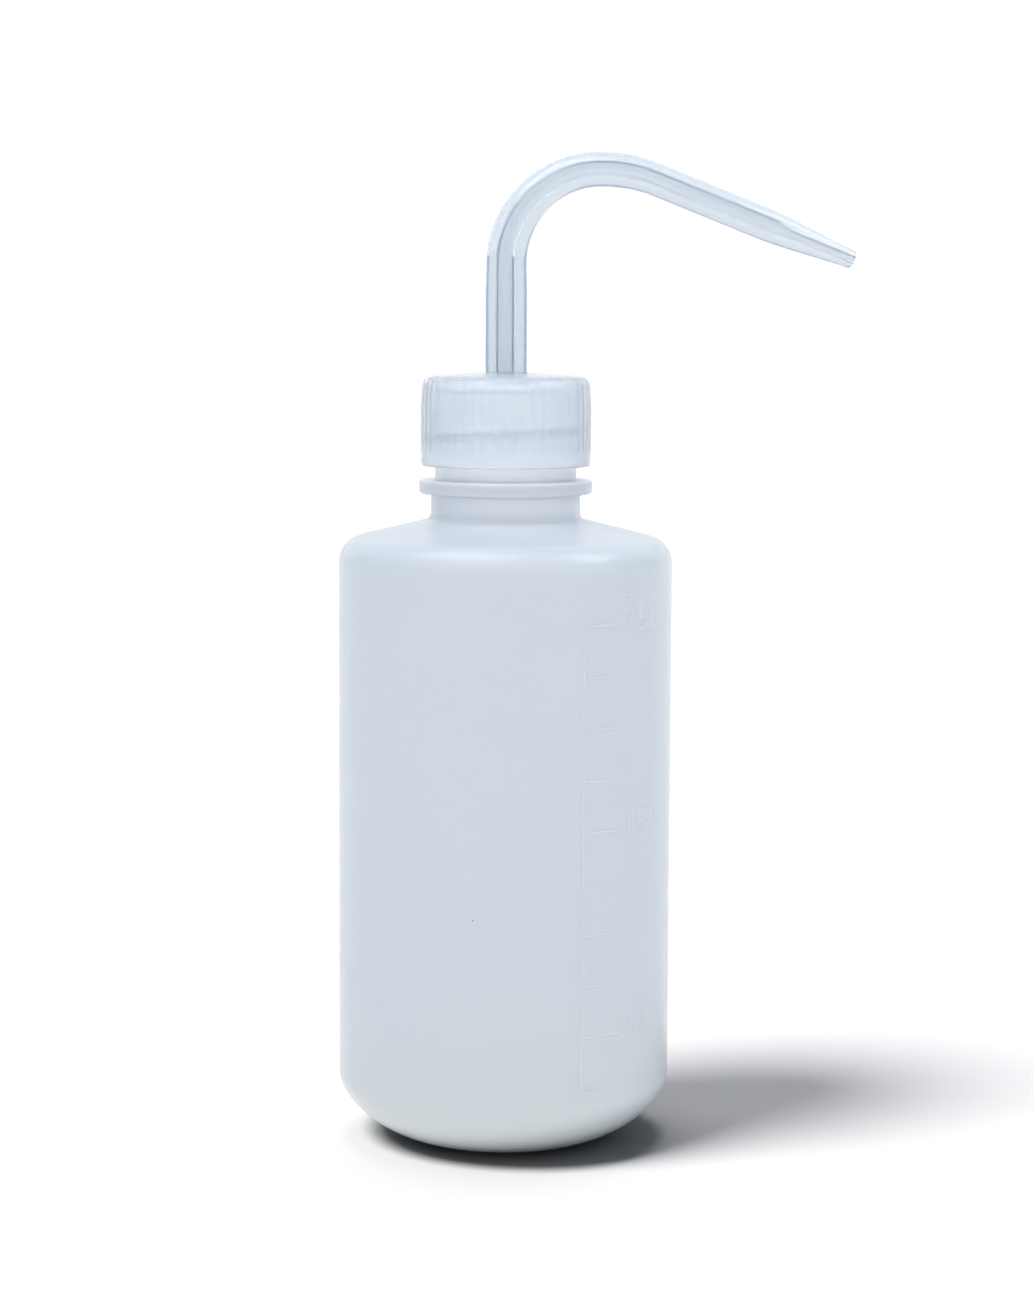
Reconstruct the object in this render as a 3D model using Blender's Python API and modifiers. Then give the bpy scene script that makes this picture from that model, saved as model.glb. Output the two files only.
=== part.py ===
"""Laboratory wash bottle, 250 ml, with a screw cap, a swivelling bent spout, a seal insert and a dip tube.

World frame: +Z up along the bottle's axis, origin at the centre of the base, spout towards +X. Metres.
"""

import math

import bmesh
import bpy
from mathutils import Matrix, Vector

MM = 0.001
GAP = 0.3 * MM
OVERSHOOT = 1.0 * MM

# Bottle body
BODY_RADIUS = 30.5 * MM
WALL = 1.0 * MM
BASE_FLAT_RADIUS = 13.5 * MM
BASE_CORNER_HEIGHT = 12.0 * MM
BASE_CORNER_POWER = 1.7
FLOOR_THICKNESS = 1.5 * MM
SHOULDER_SLOPE = math.radians(14)
SHOULDER_RADIUS = 5.0 * MM
SHOULDER_WALL = 1.2 * MM
BODY_STEPS = 56
BASE_CORNER_STEPS = 9
SHOULDER_STEPS = 5
INNER_SHOULDER_STEPS = 4

# Neck, from its foot on the shoulder up to the lip
NECK_FOOT_Z = 114.4 * MM
NECK_FOOT_FILLET = 0.8 * MM
NECK_LOWER_RADIUS = 13.65 * MM
NECK_LOWER_BORE = 12.2 * MM
FLANGE_RADIUS = 15.85 * MM
FLANGE_BOTTOM_Z = 118.9 * MM
FLANGE_TOP_Z = 121.4 * MM
FLANGE_ROUNDING = 0.6 * MM
NECK_RADIUS = 12.9 * MM
NECK_BORE = 10.9 * MM
LIP_Z = 137.2 * MM
LIP_ROUNDING = 0.4 * MM
SMALL_ROUNDING_STEPS = 2
NECK_ROUNDING_STEPS = 3

# Screw thread: one right-hand start, the same pitch on the neck and in the cap
THREAD_PITCH = 25.4 / 6 * MM
NECK_THREAD_RADIUS = 13.8 * MM
NECK_THREAD_TOP_Z = 134.3 * MM
NECK_THREAD_TURNS = 1.5
NECK_THREAD_ROOT_WIDTH = 1.8 * MM
NECK_THREAD_CREST_WIDTH = 1.0 * MM
CAP_THREAD_RADIUS = 13.2 * MM
CAP_THREAD_TURNS = 1.25
CAP_THREAD_ROOT_WIDTH = 1.6 * MM
CAP_THREAD_CREST_WIDTH = 0.9 * MM
THREAD_ROOT_SINK = 0.35 * MM
THREAD_FLANK_DROP = 1.5 * MM
THREAD_PHASE = math.pi / BODY_STEPS

# Screw cap
CAP_RADIUS = 15.5 * MM
CAP_TOP_RADIUS = 15.3 * MM
CAP_BORE = 14.1 * MM
CAP_BOTTOM_Z = 123.9 * MM
CAP_TOP_Z = 140.9 * MM
CAP_CORNER_RADIUS = 2.0 * MM
CAP_CROWN = 0.7 * MM
CAP_DRAFT_Z = 134.5 * MM
CAP_ROOF_Z = 139.1 * MM
CAP_HOLE_RADIUS = 4.15 * MM
CAP_BAND_TOP_Z = 126.9 * MM
CAP_RIM_ROUNDING = 0.5 * MM
CAP_LEAD_IN = 0.4 * MM
CAP_LEAD_IN_HEIGHT = 0.8 * MM
CAP_ROOF_CHAMFER = 0.6 * MM
CROWN_STEPS = 3
CAP_CORNER_STEPS = 5
RIB_COUNT = 50
RIB_DEPTH = 0.25 * MM
RIB_GROOVE_WIDTH = 0.9 * MM
GROOVE_CUTTER_DEPTH = 2.0 * MM
CAP_STEPS = 2 * RIB_COUNT

# Seal insert: a plug in the neck's bore with a socket for the spout above and the dip tube below
INSERT_RADIUS = 12.4 * MM
INSERT_CHAMFER = 0.3 * MM
INSERT_BOTTOM_Z = 125.4 * MM
INSERT_FLANGE_BOTTOM_Z = LIP_Z + GAP
INSERT_TOP_Z = CAP_ROOF_Z - GAP
PLUG_RADIUS = NECK_BORE - GAP
PLUG_BOTTOM_Z = 131.6 * MM
PLUG_WALL = 1.0 * MM
PLUG_LEAD_IN = 0.6 * MM
PLUG_LEAD_IN_HEIGHT = 1.5 * MM
INSERT_FLOOR = 1.0 * MM
BOSS_RADIUS = 5.6 * MM
BOSS_CHAMFER = 0.5 * MM
SPOUT_SOCKET_RADIUS = 4.05 * MM
SPOUT_SOCKET_BOTTOM_Z = 131.0 * MM
COLLAR_SEAT_RADIUS = 5.9 * MM
COLLAR_SEAT_DEPTH = 1.0 * MM
TUBE_SOCKET_RADIUS = 3.3 * MM
INSERT_STEPS = 48

# Spout: a stem, a tight bend, an easier bend, a straight arm and a drawn tip
STEM_BOTTOM_Z = 131.4 * MM
STEM_RADIUS = 3.75 * MM
BEND_START_TUBE_RADIUS = 3.62 * MM
COLLAR_RADIUS = 5.5 * MM
COLLAR_TOP_Z = INSERT_TOP_Z
COLLAR_BOTTOM_Z = INSERT_TOP_Z - COLLAR_SEAT_DEPTH + GAP
COLLAR_CHAMFER = 0.2 * MM
BEND_START_Z = 160.4 * MM
BEND_RADIUS = 17.0 * MM
EASY_BEND_RADIUS = 28.0 * MM
ARM_SLOPE = math.radians(21.7)
ARM_LENGTH = 38.3 * MM
TAPER_LENGTH = 15.6 * MM
BEND_TOP_TUBE_RADIUS = 3.1 * MM
ARM_TUBE_RADIUS = 2.9 * MM
MID_TAPER_RADIUS = 2.325 * MM
TIP_RADIUS = 1.55 * MM
TIP_SHOULDER_RADIUS = 1.36 * MM
TIP_END_RADIUS = 0.93 * MM
TIP_ROUNDING = 0.7 * MM
TIP_SHOULDER_LENGTH = 0.2 * MM
BORE_SHARE = 0.345
BORE_OFFSET = 0.15 * MM
JET_BORE = 0.55 * MM
JET_NECK_LENGTH = 4.0 * MM
SPOUT_SIDES_RESOLUTION = 6
BEND_STEPS = 12
EASY_BEND_STEPS = 5

# Dip tube
TUBE_RADIUS = 3.0 * MM
TUBE_BORE = 2.0 * MM
TUBE_TOP_Z = SPOUT_SOCKET_BOTTOM_Z - GAP
TUBE_BOTTOM_Z = 4.5 * MM
TUBE_CUT_ANGLE = math.radians(40)
TUBE_CUTTER_SIDE = 24.0 * MM
TUBE_STEPS = 24

# Plain colours (linear RGB) and roughness of each material
BOTTLE_MILKY = ((0.63, 0.69, 0.76), 0.42)
CAP_WHITE = ((0.60, 0.68, 0.77), 0.35)
INSERT_WHITE = ((0.80, 0.82, 0.84), 0.45)
SPOUT_CLEAR = ((0.58, 0.66, 0.75), 0.30)
TUBE_CLEAR = ((0.70, 0.74, 0.78), 0.35)

MERGE_DISTANCE = 0.00001
COLLECTION_NAME = "wash_bottle"


def clear_scene():
    for obj in list(bpy.data.objects):
        bpy.data.objects.remove(obj, do_unlink=True)


def new_collection(name, hidden=False):
    collection = bpy.data.collections.new(name)
    bpy.context.scene.collection.children.link(collection)
    collection.hide_render = hidden
    return collection


def make_material(name, colour, roughness):
    material = bpy.data.materials.new(name)
    material.use_nodes = True
    shader = material.node_tree.nodes["Principled BSDF"]
    shader.inputs["Base Color"].default_value = (*colour, 1.0)
    shader.inputs["Roughness"].default_value = roughness
    shader.inputs["Metallic"].default_value = 0.0
    return material


def place(mesh, name, collection, material=None):
    """Link a mesh as one named object. Without a material it is a cutter or a helper, left out of renders."""
    obj = bpy.data.objects.new(name, mesh)
    collection.objects.link(obj)
    if material:
        mesh.materials.append(material)
    else:
        obj.hide_render = True
        obj.display_type = "WIRE"
    return obj


def arc(centre, radius, start, end, count):
    """Points (r, z) of a round stretch of a profile, from one angle to another in degrees."""
    points = []
    for i in range(count + 1):
        angle = math.radians(start + (end - start) * i / count)
        points.append((centre[0] + radius * math.cos(angle), centre[1] + radius * math.sin(angle)))
    return points


def base_corner(flat_radius, outer_radius, bottom_z, top_z, count):
    """Points down the bottle's full, nearly elliptical base corner, from the side wall to the flat base."""
    points = []
    for i in range(count + 1):
        angle = math.pi / 2 * i / count
        across = math.cos(angle) ** (2 / BASE_CORNER_POWER)
        down = math.sin(angle) ** (2 / BASE_CORNER_POWER)
        r = flat_radius + (outer_radius - flat_radius) * across
        points.append((r, top_z - (top_z - bottom_z) * down))
    return points


def shoulder(radius, corner, foot_radius, foot_z, count):
    """Points of the sloping shoulder from the neck's foot out to the side wall."""
    slope = math.degrees(SHOULDER_SLOPE)
    meet_r = radius - corner + corner * math.sin(SHOULDER_SLOPE)
    meet_z = foot_z - (meet_r - foot_radius) * math.tan(SHOULDER_SLOPE)
    centre = (radius - corner, meet_z - corner * math.cos(SHOULDER_SLOPE))
    return arc(centre, corner, 90 - slope, 0, count)


def turned(name, profile, steps, collection, material=None, closed=False):
    """A turned solid: the profile's (r, z) points at +X, spun once round +Z by a Screw modifier."""
    mesh = bpy.data.meshes.new(name)
    bm = bmesh.new()
    verts = [bm.verts.new((r, 0, z)) for r, z in profile]
    for first, second in zip(verts, verts[1:]):
        bm.edges.new((first, second))
    if closed:
        bm.edges.new((verts[-1], verts[0]))
    bm.to_mesh(mesh)
    bm.free()
    obj = place(mesh, name, collection, material)
    screw = obj.modifiers.new("turn", "SCREW")
    screw.axis = "Z"
    screw.angle = 2 * math.pi
    screw.steps = steps
    screw.render_steps = steps
    screw.use_merge_vertices = True
    screw.merge_threshold = MERGE_DISTANCE
    return obj


def helix_ridge(name, collection, root_r, crest_r, root_width, crest_width, top_z, turns, steps, phase):
    """A closed helical ridge of trapezium section that winds down clockwise, as a right-hand thread does."""
    mesh = bpy.data.meshes.new(name)
    bm = bmesh.new()
    section = [
        (root_r, root_width / 2),
        (crest_r, crest_width / 2),
        (crest_r, -crest_width / 2),
        (root_r, -root_width / 2),
    ]
    verts = [bm.verts.new((r, 0, top_z + z)) for r, z in section]
    face = bm.faces.new(verts)
    count = round(steps * turns)
    bmesh.ops.spin(
        bm,
        geom=[face, *face.edges, *face.verts],
        cent=(0, 0, 0),
        axis=(0, 0, 1),
        dvec=(0, 0, -THREAD_PITCH / steps),
        angle=-2 * math.pi * count / steps,
        steps=count,
    )
    bmesh.ops.rotate(bm, cent=(0, 0, 0), matrix=Matrix.Rotation(phase, 3, "Z"), verts=bm.verts)
    bmesh.ops.recalc_face_normals(bm, faces=bm.faces)
    bm.to_mesh(mesh)
    bm.free()
    return place(mesh, name, collection)


def boolean(obj, other, operation):
    modifier = obj.modifiers.new(f"{operation.lower()}_{other.name}", "BOOLEAN")
    modifier.operation = operation
    modifier.object = other
    modifier.solver = "EXACT"


def tube_mesh(name, collection, points, radii):
    """A closed solid along a path in the XZ plane: a bevelled poly curve, turned into a mesh."""
    curve = bpy.data.curves.new(name, "CURVE")
    curve.dimensions = "3D"
    curve.bevel_depth = 1.0
    curve.bevel_resolution = SPOUT_SIDES_RESOLUTION
    curve.use_fill_caps = True
    spline = curve.splines.new("POLY")
    spline.points.add(len(points) - 1)
    for point, (x, z), radius in zip(spline.points, points, radii):
        point.co = (x, 0, z, 1)
        point.radius = radius
    guide = bpy.data.objects.new(name + "_guide", curve)
    collection.objects.link(guide)
    graph = bpy.context.evaluated_depsgraph_get()
    mesh = bpy.data.meshes.new_from_object(guide.evaluated_get(graph))
    bpy.data.objects.remove(guide, do_unlink=True)
    bm = bmesh.new()
    bm.from_mesh(mesh)
    bmesh.ops.remove_doubles(bm, verts=bm.verts, dist=MERGE_DISTANCE)
    bmesh.ops.recalc_face_normals(bm, faces=bm.faces)
    bm.to_mesh(mesh)
    bm.free()
    mesh.name = name
    return mesh


def steps_between(first, last, count):
    """Evenly spaced values after first, up to and including last."""
    return [first + (last - first) * (i + 1) / count for i in range(count)]


def spout_path(arm_stops, foot_z, inward=0.0):
    """Points (x, z) from the foot round both bends and down the arm. Inward is towards the bend's centre."""
    points = [(inward, z) for z in (foot_z, CAP_ROOF_Z, CAP_TOP_Z)]
    points += arc((BEND_RADIUS, BEND_START_Z), BEND_RADIUS - inward, 180, 90, BEND_STEPS)
    easy_centre = (BEND_RADIUS, BEND_START_Z + BEND_RADIUS - EASY_BEND_RADIUS)
    arm_angle = 90 - math.degrees(ARM_SLOPE)
    points += arc(easy_centre, EASY_BEND_RADIUS - inward, 90, arm_angle, EASY_BEND_STEPS)[1:]
    start = Vector(points[-1])
    along = Vector((math.cos(ARM_SLOPE), -math.sin(ARM_SLOPE)))
    return points + [tuple(start + along * stop) for stop in arm_stops]


def drawn_radii():
    """Outer radii from the stem's foot to where the tip's taper starts: drawn thinner by the bends."""
    radii = [STEM_RADIUS] * 3 + [BEND_START_TUBE_RADIUS]
    radii += steps_between(BEND_START_TUBE_RADIUS, BEND_TOP_TUBE_RADIUS, BEND_STEPS)
    radii += steps_between(BEND_TOP_TUBE_RADIUS, ARM_TUBE_RADIUS, EASY_BEND_STEPS)
    return radii + [ARM_TUBE_RADIUS]


def spout_solid(helpers):
    """Outer shape: full on the stem, thinner round the bend, even along the arm, drawn down to the tip."""
    taper_start = ARM_LENGTH - TAPER_LENGTH
    stops = [taper_start, taper_start + TAPER_LENGTH / 2, ARM_LENGTH - TIP_ROUNDING]
    stops += [ARM_LENGTH - TIP_SHOULDER_LENGTH, ARM_LENGTH]
    radii = drawn_radii() + [MID_TAPER_RADIUS, TIP_RADIUS, TIP_SHOULDER_RADIUS, TIP_END_RADIUS]
    return tube_mesh("spout", helpers, spout_path(stops, STEM_BOTTOM_Z), radii)


def spout_bore_solid(helpers):
    """The bore, drawn in step with the outside and necking down to a jet at the tip's centre."""
    neck_start = ARM_LENGTH - TAPER_LENGTH
    neck_end = neck_start + JET_NECK_LENGTH
    wide = spout_path([neck_start, neck_end], STEM_BOTTOM_Z - OVERSHOOT, inward=BORE_OFFSET)
    centred = spout_path([neck_end, ARM_LENGTH + OVERSHOOT], STEM_BOTTOM_Z)
    radii = [radius * BORE_SHARE for radius in drawn_radii()] + [JET_BORE] * 2
    return tube_mesh("spout_bore", helpers, wide[:-1] + centred[-2:], radii)


def make_bottle(parts, helpers, material):
    outer = [(NECK_BORE, LIP_Z)]
    lip_centre = (NECK_RADIUS - LIP_ROUNDING, LIP_Z - LIP_ROUNDING)
    outer += arc(lip_centre, LIP_ROUNDING, 90, 0, SMALL_ROUNDING_STEPS)
    outer.append((NECK_RADIUS, FLANGE_TOP_Z))
    corner_r = FLANGE_RADIUS - FLANGE_ROUNDING
    upper_centre = (corner_r, FLANGE_TOP_Z - FLANGE_ROUNDING)
    lower_centre = (corner_r, FLANGE_BOTTOM_Z + FLANGE_ROUNDING)
    outer += arc(upper_centre, FLANGE_ROUNDING, 90, 0, NECK_ROUNDING_STEPS)
    outer += arc(lower_centre, FLANGE_ROUNDING, 0, -90, NECK_ROUNDING_STEPS)
    outer.append((NECK_LOWER_RADIUS, FLANGE_BOTTOM_Z))
    fillet_rise = NECK_FOOT_FILLET * (1 / math.cos(SHOULDER_SLOPE) - math.tan(SHOULDER_SLOPE))
    fillet_centre = (NECK_LOWER_RADIUS + NECK_FOOT_FILLET, NECK_FOOT_Z + fillet_rise)
    fillet_end = 270 - math.degrees(SHOULDER_SLOPE)
    outer += arc(fillet_centre, NECK_FOOT_FILLET, 180, fillet_end, NECK_ROUNDING_STEPS)
    outer += shoulder(BODY_RADIUS, SHOULDER_RADIUS, NECK_LOWER_RADIUS, NECK_FOOT_Z, SHOULDER_STEPS)
    outer += base_corner(BASE_FLAT_RADIUS, BODY_RADIUS, 0, BASE_CORNER_HEIGHT, BASE_CORNER_STEPS)
    outer.append((0, 0))
    inner_radius = BODY_RADIUS - WALL
    inner_flat = BASE_FLAT_RADIUS - FLOOR_THICKNESS / 2
    inner_foot_z = NECK_FOOT_Z - SHOULDER_WALL
    inner = base_corner(
        inner_flat, inner_radius, FLOOR_THICKNESS, BASE_CORNER_HEIGHT, BASE_CORNER_STEPS
    )[::-1]
    inner = [(0, FLOOR_THICKNESS)] + inner
    inner += shoulder(
        inner_radius, SHOULDER_RADIUS - WALL, NECK_LOWER_BORE, inner_foot_z, INNER_SHOULDER_STEPS
    )[::-1]
    inner.append((NECK_LOWER_BORE, inner_foot_z))
    inner.append((NECK_LOWER_BORE, FLANGE_BOTTOM_Z))
    inner.append((NECK_BORE, FLANGE_TOP_Z))
    bottle = turned("bottle", inner + outer, BODY_STEPS, parts, material)
    ridge = helix_ridge(
        "neck_thread",
        helpers,
        NECK_RADIUS - THREAD_ROOT_SINK,
        NECK_THREAD_RADIUS,
        NECK_THREAD_ROOT_WIDTH,
        NECK_THREAD_CREST_WIDTH,
        NECK_THREAD_TOP_Z,
        NECK_THREAD_TURNS,
        BODY_STEPS,
        THREAD_PHASE,
    )
    boolean(bottle, ridge, "UNION")
    return bottle


def make_rib_grooves(helpers):
    """Shallow upright grooves between the cap's grip ribs, as one cutter of separate bars."""
    mesh = bpy.data.meshes.new("rib_grooves")
    bm = bmesh.new()
    height = CAP_TOP_Z - CAP_BAND_TOP_Z
    for i in range(RIB_COUNT):
        shape = Matrix.Rotation(2 * math.pi * (i + 0.5) / RIB_COUNT, 4, "Z")
        middle_r = CAP_RADIUS - RIB_DEPTH + GROOVE_CUTTER_DEPTH / 2
        shape = shape @ Matrix.Translation((middle_r, 0, CAP_BAND_TOP_Z + height / 2))
        shape = shape @ Matrix.Diagonal((GROOVE_CUTTER_DEPTH, RIB_GROOVE_WIDTH, height, 1))
        bmesh.ops.create_cube(bm, size=1, matrix=shape)
    bm.to_mesh(mesh)
    bm.free()
    return place(mesh, "rib_grooves", helpers)


def make_screw_cap(parts, helpers, material):
    crown = []
    edge_r = CAP_TOP_RADIUS - CAP_CORNER_RADIUS
    for i in range(CROWN_STEPS):
        r = CAP_HOLE_RADIUS + (edge_r - CAP_HOLE_RADIUS) * i / CROWN_STEPS
        crown.append((r, CAP_TOP_Z - CAP_CROWN * (r / edge_r) ** 2))
    corner_centre = (edge_r, CAP_TOP_Z - CAP_CROWN - CAP_CORNER_RADIUS)
    profile = crown + arc(corner_centre, CAP_CORNER_RADIUS, 90, 0, CAP_CORNER_STEPS)
    profile.append((CAP_RADIUS, CAP_DRAFT_Z))
    profile.append((CAP_RADIUS, CAP_BAND_TOP_Z))
    rim_centre = (CAP_RADIUS - CAP_RIM_ROUNDING, CAP_BOTTOM_Z + CAP_RIM_ROUNDING)
    profile += arc(rim_centre, CAP_RIM_ROUNDING, 0, -90, SMALL_ROUNDING_STEPS)
    profile.append((CAP_BORE + CAP_LEAD_IN, CAP_BOTTOM_Z))
    profile.append((CAP_BORE, CAP_BOTTOM_Z + CAP_LEAD_IN_HEIGHT))
    profile.append((CAP_BORE, CAP_ROOF_Z - CAP_ROOF_CHAMFER))
    profile.append((CAP_BORE - CAP_ROOF_CHAMFER, CAP_ROOF_Z))
    profile.append((CAP_HOLE_RADIUS, CAP_ROOF_Z))
    cap = turned("screw_cap", profile, CAP_STEPS, parts, material, closed=True)
    turns_down = NECK_THREAD_TURNS - CAP_THREAD_TURNS
    ridge = helix_ridge(
        "cap_thread",
        helpers,
        CAP_BORE + THREAD_ROOT_SINK,
        CAP_THREAD_RADIUS,
        CAP_THREAD_ROOT_WIDTH,
        CAP_THREAD_CREST_WIDTH,
        NECK_THREAD_TOP_Z - THREAD_FLANK_DROP - THREAD_PITCH * turns_down,
        CAP_THREAD_TURNS,
        BODY_STEPS,
        THREAD_PHASE - 2 * math.pi * turns_down,
    )
    boolean(cap, ridge, "UNION")
    boolean(cap, make_rib_grooves(helpers), "DIFFERENCE")
    return cap


def make_seal_insert(parts, material):
    seat_z = INSERT_TOP_Z - COLLAR_SEAT_DEPTH
    underside_z = seat_z - INSERT_FLOOR
    profile = [
        (COLLAR_SEAT_RADIUS, INSERT_TOP_Z),
        (INSERT_RADIUS - INSERT_CHAMFER, INSERT_TOP_Z),
        (INSERT_RADIUS, INSERT_TOP_Z - INSERT_CHAMFER),
        (INSERT_RADIUS, INSERT_FLANGE_BOTTOM_Z),
        (PLUG_RADIUS, INSERT_FLANGE_BOTTOM_Z),
        (PLUG_RADIUS, PLUG_BOTTOM_Z + PLUG_LEAD_IN_HEIGHT),
        (PLUG_RADIUS - PLUG_LEAD_IN, PLUG_BOTTOM_Z),
        (PLUG_RADIUS - PLUG_WALL, PLUG_BOTTOM_Z),
        (PLUG_RADIUS - PLUG_WALL, underside_z),
        (BOSS_RADIUS + BOSS_CHAMFER, underside_z),
        (BOSS_RADIUS, underside_z - BOSS_CHAMFER),
        (BOSS_RADIUS, INSERT_BOTTOM_Z + BOSS_CHAMFER),
        (BOSS_RADIUS - BOSS_CHAMFER, INSERT_BOTTOM_Z),
        (TUBE_SOCKET_RADIUS, INSERT_BOTTOM_Z),
        (TUBE_SOCKET_RADIUS, SPOUT_SOCKET_BOTTOM_Z),
        (SPOUT_SOCKET_RADIUS, SPOUT_SOCKET_BOTTOM_Z),
        (SPOUT_SOCKET_RADIUS, seat_z),
        (COLLAR_SEAT_RADIUS, seat_z),
    ]
    return turned("seal_insert", profile, INSERT_STEPS, parts, material, closed=True)


def make_spout(parts, helpers, material):
    spout = place(spout_solid(helpers), "spout", parts, material)
    root_radius = (STEM_RADIUS * BORE_SHARE + STEM_RADIUS) / 2
    collar_profile = [
        (root_radius, COLLAR_TOP_Z),
        (COLLAR_RADIUS - COLLAR_CHAMFER, COLLAR_TOP_Z),
        (COLLAR_RADIUS, COLLAR_TOP_Z - COLLAR_CHAMFER),
        (COLLAR_RADIUS, COLLAR_BOTTOM_Z),
        (root_radius, COLLAR_BOTTOM_Z),
    ]
    collar = turned("spout_collar", collar_profile, INSERT_STEPS, helpers, closed=True)
    boolean(spout, collar, "UNION")
    boolean(spout, place(spout_bore_solid(helpers), "spout_bore", helpers), "DIFFERENCE")
    return spout


def make_dip_tube(parts, helpers, material):
    profile = [
        (TUBE_BORE, TUBE_TOP_Z),
        (TUBE_RADIUS, TUBE_TOP_Z),
        (TUBE_RADIUS, TUBE_BOTTOM_Z),
        (TUBE_BORE, TUBE_BOTTOM_Z),
    ]
    tube = turned("dip_tube", profile, TUBE_STEPS, parts, material, closed=True)
    mesh = bpy.data.meshes.new("tube_cut")
    bm = bmesh.new()
    low_edge = Vector((-TUBE_RADIUS, 0, TUBE_BOTTOM_Z))
    shape = Matrix.Translation(low_edge) @ Matrix.Rotation(-TUBE_CUT_ANGLE, 4, "Y")
    shape = shape @ Matrix.Translation((0, 0, -TUBE_CUTTER_SIDE / 2)) @ Matrix.Scale(TUBE_CUTTER_SIDE, 4)
    bmesh.ops.create_cube(bm, size=1, matrix=shape)
    bm.to_mesh(mesh)
    bm.free()
    boolean(tube, place(mesh, "tube_cut", helpers), "DIFFERENCE")
    return tube


clear_scene()
parts = new_collection(COLLECTION_NAME)
helpers = new_collection(COLLECTION_NAME + "_cutters", hidden=True)
milky = make_material("bottle_ldpe", *BOTTLE_MILKY)
cap_white = make_material("cap_pp", *CAP_WHITE)
insert_white = make_material("insert_ldpe", *INSERT_WHITE)
spout_clear = make_material("spout_pe", *SPOUT_CLEAR)
tube_clear = make_material("tube_pe", *TUBE_CLEAR)
make_bottle(parts, helpers, milky)
make_screw_cap(parts, helpers, cap_white)
make_seal_insert(parts, insert_white)
make_spout(parts, helpers, spout_clear)
make_dip_tube(parts, helpers, tube_clear)
for piece in parts.objects:
    piece.data.shade_smooth()
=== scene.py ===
import math

import bpy
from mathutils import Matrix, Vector


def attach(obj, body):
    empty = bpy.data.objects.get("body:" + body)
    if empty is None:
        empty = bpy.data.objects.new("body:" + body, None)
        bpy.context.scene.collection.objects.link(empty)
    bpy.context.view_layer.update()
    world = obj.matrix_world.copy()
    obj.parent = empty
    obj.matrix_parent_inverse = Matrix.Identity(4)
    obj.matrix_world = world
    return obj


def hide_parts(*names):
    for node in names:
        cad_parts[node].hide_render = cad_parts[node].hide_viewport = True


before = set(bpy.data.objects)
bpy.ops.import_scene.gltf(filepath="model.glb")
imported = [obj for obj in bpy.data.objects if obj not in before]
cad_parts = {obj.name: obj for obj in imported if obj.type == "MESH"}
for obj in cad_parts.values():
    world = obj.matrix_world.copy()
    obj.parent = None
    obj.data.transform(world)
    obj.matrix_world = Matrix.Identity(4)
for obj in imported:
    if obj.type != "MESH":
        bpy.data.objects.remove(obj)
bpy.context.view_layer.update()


# Camera: a long lens half a metre in front of the bottle, a little above the cap and tilted
# down on to it, rolled a quarter of a degree as a hand-set tripod head would be.
MM = 0.001
bpy.ops.object.select_all(action="DESELECT")
bpy.ops.object.camera_add(
    location=(1.85 * MM, -550 * MM, 149.07 * MM),
    rotation=(math.radians(83.97), math.radians(-0.25), 0),
)
camera = bpy.context.object
camera.name = "camera"
camera.data.lens = 84.1
camera.data.sensor_width = 36
camera.data.clip_start = 0.01
bpy.context.scene.camera = camera
bpy.context.scene.view_settings.view_transform = "Standard"


# Studio: a matt white table top that runs out of sight, in a white room with pale blue flags at the
# sides and overhead, which give clear plastic its edges. A big softbox hangs high on the left, a
# smaller one on the right and a fill in front, and two broad suns light the table alone.


def linear(code):
    """The linear RGBA colour of an sRGB hex code."""
    channels = [int(code[i : i + 2], 16) / 255 for i in (1, 3, 5)]
    return (*[c / 12.92 if c <= 0.04045 else ((c + 0.055) / 1.055) ** 2.4 for c in channels], 1)


def add(tree, kind, inputs, **settings):
    """Add a node. An input given as a socket is linked, and any other value is set."""
    node = tree.nodes.new(kind)
    for name, value in settings.items():
        setattr(node, name, value)
    for name, value in inputs.items():
        if isinstance(value, bpy.types.NodeSocket):
            tree.links.new(value, node.inputs[name])
        else:
            node.inputs[name].default_value = value
    return node


TABLE_SIDE = 6.0
TABLE_WHITE = "#767676"
ROOM_WHITE = "#FFFFFF"
ROOM_FRONT = 0.60
ROOM_BACK = 1.00
ROOM_TURN = 0.6
BACKDROP = 1.05
FLAG_BLUE = "#7C9FCB"
FLAG_START = 0.68
FLAG_FULL = 0.88
TABLE_LIGHTS = [
    # azimuth from the front towards +X, elevation, strength, width of the light in degrees
    ("table_light_side", -60, 57, 16.0, 26),
    ("table_light_back", 175, 80, 4.2, 26),
]
SOFTBOXES = [
    # azimuth from the front towards +X, elevation, distance, width, height, power, seen in gloss
    ("key_softbox", -50, 68, 0.75, 0.60, 0.50, 2.5, True),
    ("side_softbox", 82, 50, 0.70, 0.25, 0.35, 0.8, True),
    ("front_fill", 5, 12, 1.20, 0.80, 0.80, 4.2, False),
]

bpy.ops.mesh.primitive_plane_add(size=TABLE_SIDE, location=(0, 0, 0))
table_top = bpy.context.object
table_top.name = "table_top"
laminate = bpy.data.materials.new("matt_white_laminate")
laminate.use_nodes = True
surface = laminate.node_tree.nodes["Principled BSDF"]
surface.inputs["Base Color"].default_value = linear(TABLE_WHITE)
surface.inputs["Roughness"].default_value = 0.9
surface.inputs["Specular IOR Level"].default_value = 0.1
table_top.data.materials.append(laminate)

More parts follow.
